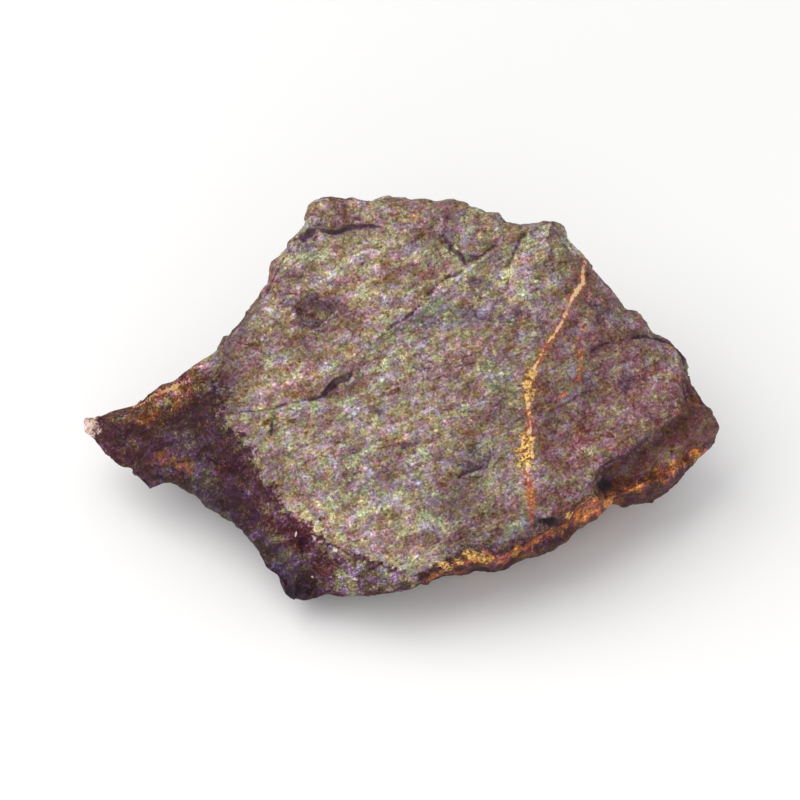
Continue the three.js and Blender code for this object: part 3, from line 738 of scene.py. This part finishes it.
def flank_look(paint, bits, finish):
    """The weathered flanks, purple brown and darkened further by painted shade, redder and blacker in patches,
    with the toe and the horn.
    """
    parts = bits.parts
    horn = paint.mix((bits.patchy * 2.0 + bits.warmth * 2.0).ramp(-0.5, 0.7), HORN_BROWN, HORN_RUST)
    ore = paint.mix((bits.patchy * 3.0).ramp(0.1, 1.0) * 0.6, looks(*finish.flank_colour_and_shade), RED_FLANK)
    ore = paint.mix(bits.back * 0.6, ore, BACK_ORE)
    # Painted shade on the low part of the left flank
    ore = paint.mix(parts["black"] * 0.75, ore, BLACK_FLANK_SHADE)
    ore = paint.mix(parts["toe"] * 0.8, ore, TOE_ORE)
    ore = paint.mix(parts["horn_top"] * 0.85, ore, horn)
    ore = paint.mix(parts["right"] * 0.6, ore, RIGHT_FLANK)
    coarse = bits.grit * (1.3 - parts["right"] * 0.6)
    pale_grains = bits.spark.ramp(0.86, 0.96) * 0.4
    ore = paint.shaded(paint.faded(ore, coarse), coarse + bits.cloud + pale_grains)
    ore = paint.mix(parts["streak"] * 0.65, ore, STREAK_PEACH)
    tip_grains = (bits.speck * 0.5 + bits.crystal_tone * 0.5 + bits.ragged * 0.8).ramp(0.1, 0.6)
    cream = paint.mix(tip_grains, TIP_SHADE, TIP_CREAM)
    return paint.mix(parts["tip"], ore, paint.shaded(cream, bits.grit * 0.6))


def gold_look(paint, bits):
    """Gold grains, some bright and some dark."""
    grains = (bits.speck * 0.7 + bits.crystal_tone * 0.5 + bits.ragged * 0.5).ramp(0.15, 0.9)
    return paint.shaded(paint.mix(grains, DARK_GOLD, BRIGHT_GOLD), bits.grit * 0.6)


def lay_rust(paint, bits, colour, gold):
    """The lower right edge, dark with rust along its seam and gold grains, and the rusty spots."""
    parts = bits.parts
    edge = paint.mix((bits.patchy * 3.0 + bits.ragged).ramp(-0.3, 0.9), DARK_EDGE, RED_EDGE)
    rust = paint.mix((bits.warmth * 2.0 + bits.patchy * 2.0).ramp(-0.6, 0.7), DEEP_RUST, BRIGHT_RUST)
    colour = paint.mix(parts["edge"] * 0.9, colour, paint.shaded(edge, bits.grit * 0.9 + bits.cloud))
    colour = paint.mix(parts["seam"] * 0.9, colour, paint.shaded(rust, bits.grit * 1.1))
    colour = paint.mix(parts["spots"] * 0.55, colour, paint.shaded(SPOT_RUST, bits.grit))
    return paint.mix(parts["gold"] * 0.9, colour, gold)


def vein_share(paint, bits):
    """How much of the vein shows, from 0 to 1; its border is the more ragged the wider it is."""
    wide = paint.carried("vein_width")
    shake = bits.ragged * (0.3 + wide * 1.4) + (bits.grain - 0.5) * wide * 1.1
    return (paint.carried("vein") + shake).ramp(-0.14, 0.10)


def lay_vein(paint, bits, colour, vein, gold):
    """The vein, which swells into gold grains, over its rusty halo and its fainter branch."""
    depth = paint.carried("vein")
    halo = (depth + bits.ragged * 1.5).ramp(-1.0, 0.1)
    core = (depth + bits.ragged * 0.5 + (bits.speck - 0.5) * 0.2).ramp(0.06, 0.22)
    swollen = (paint.carried("vein_width") + bits.ragged * 0.6).ramp(0.46, 0.66)
    seam = paint.mix(swollen, paint.mix(core, VEIN_BROWN, VEIN_PEACH), gold)
    branch = paint.mix((bits.speck + bits.warmth).ramp(0.1, 1.0), SPOT_RUST, BRANCH_RUST)
    colour = paint.mix(halo * 0.4, colour, paint.shaded(VEIN_HALO, bits.grit))
    colour = paint.mix(bits.parts["branch"] * 0.85, colour, paint.shaded(branch, bits.grit * 0.8))
    return paint.mix(vein, colour, seam)


def lay_casts(paint, bits, colour, strength):
    """Olive or violet and teal or russet grains; the flanks are more violet, and dark grains redder."""
    dark = (bits.mottle - bits.strokes * 0.6) * -0.55
    violet = paint.mix((0.5 + (bits.tint * 3.6 + dark * 0.5) * strength).clamp(), OLIVE_CAST, VIOLET_CAST)
    russet = paint.mix((0.5 + (bits.heat * 1.05 + dark) * strength).clamp(), TEAL_CAST, RUSSET_CAST)
    flank = (1.0 - bits.parts["face"]) * (1.0 - bits.parts["right"].most(bits.back) * 0.6) * 0.7
    for share, cast in ((1.0, violet), (flank, violet), (1.0, russet)):
        colour = paint.mix(share, colour, cast, blend="MULTIPLY")
    return colour


def lay_shade_and_highlights(paint, bits, colour, crevice_shade):
    """Painted shade in the cracks and hollows, painted shadow in the holes, and painted highlights for small
    bright cleavage glints.
    """
    colour = paint.mix(crevice_shade * 0.86, colour, paint.shaded(CREVICE_SHADE, bits.grit * 0.6))
    # Painted shadow in the holes
    colour = paint.mix(bits.parts["hole"] * 0.92, colour, HOLE_SHADOW)
    # Painted highlights of the cleavage glints
    return paint.mix(bits.parts["glint"] * 0.9, colour, GLINT)


def stone_material(finish):
    """Ore, dark flanks, rust and vein, all parts of one stone."""
    paint = Paint("braunite_ore")
    bits = Patterns(paint)
    parts = bits.parts
    gold = gold_look(paint, bits)
    vein = vein_share(paint, bits)
    # Painted shade in the cracks and the hollows
    crevice_shade = parts["crack"].most(parts["hollow"] * 0.72)
    strength = 1.0 - parts["gold"].most(vein).most(parts["tip"]).most(parts["streak"]) * 0.8
    colour = paint.mix(parts["face"], flank_look(paint, bits, finish), face_look(paint, bits, finish))
    colour = lay_rust(paint, bits, colour, gold)
    colour = lay_vein(paint, bits, colour, vein, gold)
    colour = lay_casts(paint, bits, colour, strength)
    colour = lay_shade_and_highlights(paint, bits, colour, crevice_shade)
    rough = 0.66 + (bits.speck - 0.5) * 0.24 + bits.ragged * 0.3 - parts["glint"] * 0.30
    height = (bits.chips * 0.6 + bits.crystals * 0.8 + bits.tone * 0.22 + bits.streaks * 0.22
              + bits.dust * 0.07 - bits.far * 0.03 + bits.ragged * 0.10 - crevice_shade * 0.10 - bits.strokes * 0.12)
    bump = paint.node("ShaderNodeBump", None, {"Strength": 0.9, "Distance": MM, "Height": height})
    paint.feed(paint.shader.inputs["Base Color"], colour)
    paint.feed(paint.shader.inputs["Roughness"], rough.clamp())
    paint.feed(paint.shader.inputs["Specular IOR Level"], 0.3)
    paint.feed(paint.shader.inputs["Normal"], bump.outputs["Normal"])
    return paint.material


# The pieces


def remeshed_copy(node, step):
    """The solid's surface as a fine, even, closed mesh of its own."""
    mesh = node.data.copy()
    welded = bmesh.new()
    welded.from_mesh(mesh)
    bmesh.ops.remove_doubles(welded, verts=welded.verts, dist=0.01 * MM)
    welded.to_mesh(mesh)
    welded.free()
    piece = bpy.data.objects.new("braunite_surface", mesh)
    bpy.context.collection.objects.link(piece)
    remesh = piece.modifiers.new("even_surface", "REMESH")
    remesh.mode = "VOXEL"
    remesh.voxel_size = step
    smooth = piece.modifiers.new("worn_creases", "SMOOTH")
    smooth.factor = 0.5
    smooth.iterations = 1
    bpy.context.view_layer.update()
    seen = piece.evaluated_get(bpy.context.evaluated_depsgraph_get())
    piece.modifiers.clear()
    piece.data = bpy.data.meshes.new_from_object(seen)
    piece.data.materials.clear()
    return piece


def wandering(surface, wave, reach):
    """A wavy shift, in millimetres, that makes a straight line on the stone ragged."""
    return np.stack([noise_over(surface.drawn, wave, (9.3, 0, 0)),
                     noise_over(surface.drawn, wave, (0, 0, 4.4))], 1) * reach


def from_oval(seen, x, y, wide, tall, slant=0.0):
    """Distance from an oval's middle, as a share of half its width and height."""
    across, up = seen[:, 0] - x, seen[:, 1] - y
    along = across * math.cos(slant) + up * math.sin(slant)
    off = up * math.cos(slant) - across * math.sin(slant)
    return np.hypot(along / wide, off / tall)


def fracture(surface, face):
    """Height of the chips, slabs and fine grain, in millimetres; the face is the smoothest part."""
    rng = random.Random(SEED)
    height = np.zeros(len(face))
    for cell, stretch, tilt, share, less in BREAKS:
        height += chip_planes(surface.drawn, cell, stretch, tilt, rng) * (share - less * face)
    height = surface.blurred(height, 1)
    for wave, tall, offset in ROUGHNESS:
        height += noise_over(surface.drawn, wave, offset) * tall
    return height


def scarps(surface):
    """Height of the low steps, in millimetres: half of a rise is above and half below the face."""
    seen = surface.seen + wandering(surface, 3.2, 1.1)
    height = np.zeros(len(seen))
    for line, rise, fade in SCARPS:
        distance, side, _ = nearest_on_line(seen, line)
        ends = np.array(line)
        reach = np.minimum(np.hypot(*(seen - ends[0]).T), np.hypot(*(seen - ends[-1]).T))
        step = np.tanh(side * distance / SCARP_EDGE) * np.exp(-distance / fade)
        height += 0.5 * rise * smoothstep(0, SCARP_END, reach) * step
    return height


def grooves(surface):
    """Depth of the cracks and hollows, in millimetres."""
    seen = surface.seen + wandering(surface, *CRACK_WANDER)
    sunk = np.zeros(len(seen))
    deep_share, wide_share = CRACK_SHARE
    for line, depth in CRACKS:
        distance, _, width = nearest_on_line(seen, line)
        sunk += deep_share * depth * np.exp(-(distance / (wide_share * width + CRACK_FLARE)) ** 2)
    seen = surface.seen + wandering(surface, 1.6, 1.0)
    for *oval, depth in HOLLOWS:
        sunk += depth * np.exp(-from_oval(seen, *oval) ** 2 * HOLLOW_FALL)
    return sunk


def carve(surface, relief):
    """How far each point moves along its normal, in millimetres; sharp rims are left calm."""
    front = smoothstep(*LOOKS_UP, surface.outward[:, 2])
    face = smoothstep(*FACE_BORDER, depth_inside(surface.seen, FACE_PATCH)) * front
    leaning = np.stack([surface.blurred(surface.outward[:, k], 6) for k in range(3)], 1)
    sharp = 1 - np.sqrt((leaning ** 2).sum(1))
    height = fracture(surface, face) * relief + (scarps(surface) - grooves(surface)) * front
    height *= 1 - RIM_CALM * smoothstep(*SHARP_RIM, sharp)
    for *oval, worn in WORN_RIM:
        height -= worn * np.exp(-from_oval(surface.seen, *oval) ** 2)
    return height + SMOOTHING_LOSS


def move_points(mesh, surface, height):
    """Move the points along their normals; the foot's skin stays flat, and nothing sinks below it."""
    lowest = float(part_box(NODE)[0].z)
    moved = surface.points + surface.normals * (height * MM)[:, None]
    resting = surface.points[:, 2] < lowest + FOOT_SKIN * MM
    moved[resting] = surface.points[resting]
    moved[:, 2] = np.maximum(moved[:, 2], lowest)
    mesh.vertices.foreach_set("co", moved.ravel())
    mesh.update()


def depth_in_spots(seen, spots):
    """Signed distance into the nearest of some oval spots, in millimetres, positive inside it."""
    deepest = np.full(len(seen), FAR_OUTSIDE)
    for x, y, wide, tall, *slant in spots:
        depth = (1 - from_oval(seen, x, y, wide, tall, *slant)) * min(wide, tall)
        deepest = np.maximum(deepest, depth)
    return deepest


def depth_in_lines(seen, lines):
    """Signed distance into the nearest of some lines that have a width, positive inside it."""
    deepest = np.full(len(seen), FAR_OUTSIDE)
    for line in lines:
        distance, _, width = nearest_on_line(seen, line)
        deepest = np.maximum(deepest, width - distance)
    return deepest


def clouds(seen, spots):
    """The sum of soft oval clouds, each with its own strength."""
    total = np.zeros(len(seen))
    for *oval, strength in spots:
        total += strength * np.exp(-from_oval(seen, *oval) ** 2)
    return total


def carry(mesh, name, values, limit=np.inf):
    """Store a number at each point, no greater than the limit there, for the material to read."""
    attribute = mesh.attributes.new(name, "FLOAT", "POINT")
    attribute.data.foreach_set("value", np.minimum(values, limit).astype(np.float32))


def carry_parts(mesh, surface):
    """Store how deep each point lies in each part of the stone, and its place in the drawing."""
    seen = surface.seen
    ragged = seen + wandering(surface, *CRACK_WANDER)
    front = surface.blurred(surface.outward[:, 2], 3)
    facing = np.clip((front + 0.08) * 5.0, -4.0, 4.0)
    lit = (front + 0.4) * FADE
    patches = (
        ("face", FACE_PATCH, facing), ("toe", TOE_PATCH, facing), ("edge", RUST_PATCH, lit),
        ("horn_top", HORN_TOP_PATCH, (front + 0.2) * FADE), ("black", FLANK_SHADE_PATCH, np.inf),
        ("tip", TIP_PATCH, np.inf), ("plate", PLATE_PATCH, np.inf), ("right", RIGHT_PATCH, np.inf),
    )
    for name, patch, limit in patches:
        carry(mesh, name, depth_inside(seen, patch), limit)

    sunk = np.minimum(surface.drawn[:, 2] + VEIN_START, 0.0)
    behind = wandering(surface, 9.0, 1.0) * (sunk < 0)[:, None]
    inside = seen + sunk[:, None] * np.array(VEIN_SLANT) + behind
    distance, _, width = nearest_on_line(inside, MAIN_VEIN)
    width = np.where(sunk < 0, np.minimum(width, HIDDEN_VEIN), width)
    carry(mesh, "vein", width - distance)
    carry(mesh, "vein_width", width)
    carry(mesh, "branch", depth_in_lines(inside, [SIDE_VEIN, BROW_RUST, *RUSTY_STRETCHES]))
    carry(mesh, "seam", depth_in_lines(seen, [RUST_SEAM]), (front + 0.5) * FADE)
    carry(mesh, "streak", depth_in_lines(seen, HORN_STREAKS), lit)
    carry(mesh, "crack", depth_in_lines(ragged, [line for line, _ in CRACKS]), lit)
    carry(mesh, "gold", depth_in_spots(seen, GOLD_SPOTS), lit)
    carry(mesh, "spots", depth_in_spots(seen, RUST_SPOTS), lit)
    carry(mesh, "hole", depth_in_spots(seen, HOLES), lit)
    carry(mesh, "glint", depth_in_spots(seen, GLINTS), facing)
    carry(mesh, "hollow", depth_in_spots(ragged, [hollow[:4] for hollow in HOLLOWS]), lit)
    for name, spots in (("cloud", TONES), ("blush", BLUSHES), ("cool", COOL_CLOUDS)):
        carry(mesh, name, clouds(ragged, spots))
    carry(mesh, "front", front)
    drawn = mesh.attributes.new("drawn", "FLOAT_VECTOR", "POINT")
    drawn.data.foreach_set("vector", surface.drawn.astype(np.float32).ravel())


class STONE_OT_dress(bpy.types.Operator):
    """Give the stone its fracture relief and its ore, flank, rust and vein colours"""
    bl_idname = "braunite.dress_stone"
    bl_label = "Dress the stone"

    def execute(self, context):
        finish = context.scene.braunite_finish
        piece = remeshed_copy(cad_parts[NODE], finish.grain_step)
        mesh = piece.data
        surface = Surface(mesh)
        move_points(mesh, surface, carve(surface, finish.relief))
        carry_parts(mesh, surface)
        mesh.materials.append(stone_material(finish))
        mesh.shade_smooth()
        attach(piece, "root")
        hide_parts(NODE)
        return {"FINISHED"}


class STONE_OT_stage(bpy.types.Operator):
    """Lay the pale floor, and set the camera and the soft lights"""
    bl_idname = "braunite.set_stage"
    bl_label = "Set the stage"

    def execute(self, context):
        stage = context.scene.braunite_stage
        grid = bmesh.new()
        bmesh.ops.create_grid(grid, x_segments=1, y_segments=1, size=FLOOR_HALF)
        floor_mesh = bpy.data.meshes.new("floor")
        grid.to_mesh(floor_mesh)
        grid.free()
        floor = bpy.data.objects.new("floor", floor_mesh)
        floor.location.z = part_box(NODE)[0].z
        context.collection.objects.link(floor)
        paint = Paint("pale_floor")
        paint.feed(paint.shader.inputs["Base Color"], (*stage.floor_colour, 1.0))
        paint.feed(paint.shader.inputs["Roughness"], 0.9)
        floor_mesh.materials.append(paint.material)

        middle = SHIFT * MM
        back = Vector((0, -math.cos(stage.elevation), math.sin(stage.elevation)))
        camera_data = bpy.data.cameras.new("camera")
        camera_data.sensor_width = SENSOR
        camera_data.lens = SENSOR * stage.distance / stage.view_width
        camera = bpy.data.objects.new("camera", camera_data)
        camera.location = middle + back * stage.distance
        camera.rotation_euler = (math.pi / 2 - stage.elevation, 0, 0)
        context.collection.objects.link(camera)
        context.scene.camera = camera

        for name, place, size, power, colour in LAMPS:
            lamp_data = bpy.data.lights.new(name, "AREA")
            lamp_data.shape = "DISK"
            lamp_data.size = size
            lamp_data.energy = power
            lamp_data.color = colour
            lamp = bpy.data.objects.new(name, lamp_data)
            lamp.location = place
            lamp.rotation_euler = (Vector(place) - LAMP_AIM).to_track_quat("Z", "Y").to_euler()
            context.collection.objects.link(lamp)
        world = bpy.data.worlds.new("studio")
        world.use_nodes = True
        sky = world.node_tree.nodes["Background"]
        sky.inputs["Color"].default_value = (1, 1, 1, 1)
        sky.inputs["Strength"].default_value = WORLD_LIGHT
        context.scene.world = world
        context.scene.view_settings.view_transform = "Standard"
        return {"FINISHED"}


class STONE_PT_panel(bpy.types.Panel):
    """Lists the stone's operators and values in the sidebar"""
    bl_idname = "STONE_PT_panel"
    bl_label = "Braunite"
    bl_space_type = "VIEW_3D"
    bl_region_type = "UI"
    bl_category = "Braunite"

    def draw(self, context):
        layout = self.layout
        for group in (context.scene.braunite_finish, context.scene.braunite_stage):
            for key in group.__annotations__:
                layout.prop(group, key)
        layout.operator(STONE_OT_dress.bl_idname)
        layout.operator(STONE_OT_stage.bl_idname)


CLASSES = (STONE_PG_finish, STONE_PG_stage, STONE_OT_dress, STONE_OT_stage, STONE_PT_panel)


def register():
    for cls in CLASSES:
        bpy.utils.register_class(cls)
    bpy.types.Scene.braunite_finish = bpy.props.PointerProperty(type=STONE_PG_finish)
    bpy.types.Scene.braunite_stage = bpy.props.PointerProperty(type=STONE_PG_stage)


def unregister():
    del bpy.types.Scene.braunite_stage
    del bpy.types.Scene.braunite_finish
    for cls in reversed(CLASSES):
        bpy.utils.unregister_class(cls)


def main():
    register()
    bpy.ops.braunite.dress_stone()
    bpy.ops.braunite.set_stage()


if __name__ == "__main__":
    main()
